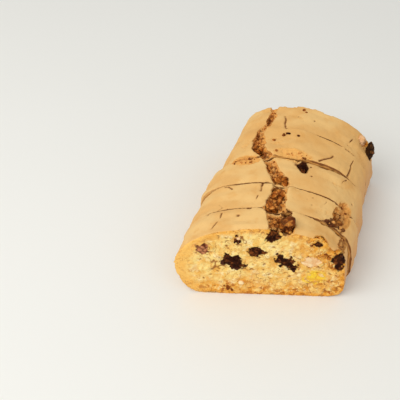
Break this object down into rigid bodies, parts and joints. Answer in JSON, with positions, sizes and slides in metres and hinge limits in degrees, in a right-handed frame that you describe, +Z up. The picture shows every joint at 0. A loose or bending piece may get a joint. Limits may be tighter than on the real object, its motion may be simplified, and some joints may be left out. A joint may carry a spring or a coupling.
{
  "type": "biscotti",
  "caption": "Short baked log of biscotti cut into thick slices that still stand together, with chocolate, nuts and candied peel showing at the cuts and in the cracked crust.",
  "frame": {"origin": "middle of the bounding box at the level of the flat base", "axes": "+Y along the log from the front cut face to the back one, +X across it to the right, +Z up"},
  "size_m": [0.081, 0.1096, 0.0435],
  "materials": {
    "biscuit": "matte baked crust with open crumb at the cuts",
    "chocolate": "dark, softly shining",
    "almond": "pale, smooth",
    "peel": "candied, slightly clear",
    "walnut": "toasted, rough"
  },
  "bodies": {
    "root": {"slice_1": "biscuit", "slice_2": "biscuit", "slice_3": "biscuit", "slice_4": "biscuit", "slice_5": "biscuit", "chocolate_1": "chocolate", "chocolate_2": "chocolate", "chocolate_3": "chocolate", "chocolate_4": "chocolate", "chocolate_5": "chocolate", "chocolate_6": "chocolate", "almond_1": "almond", "peel_1": "peel", "walnut_1": "walnut", "chocolate_7": "chocolate", "chocolate_8": "chocolate", "chocolate_9": "chocolate", "almond_2": "almond", "peel_2": "peel", "walnut_2": "walnut", "walnut_3": "walnut", "walnut_4": "walnut", "walnut_5": "walnut", "chocolate_10": "chocolate", "chocolate_11": "chocolate", "chocolate_12": "chocolate", "chocolate_13": "chocolate", "almond_3": "almond"}
  },
  "joints": []
}
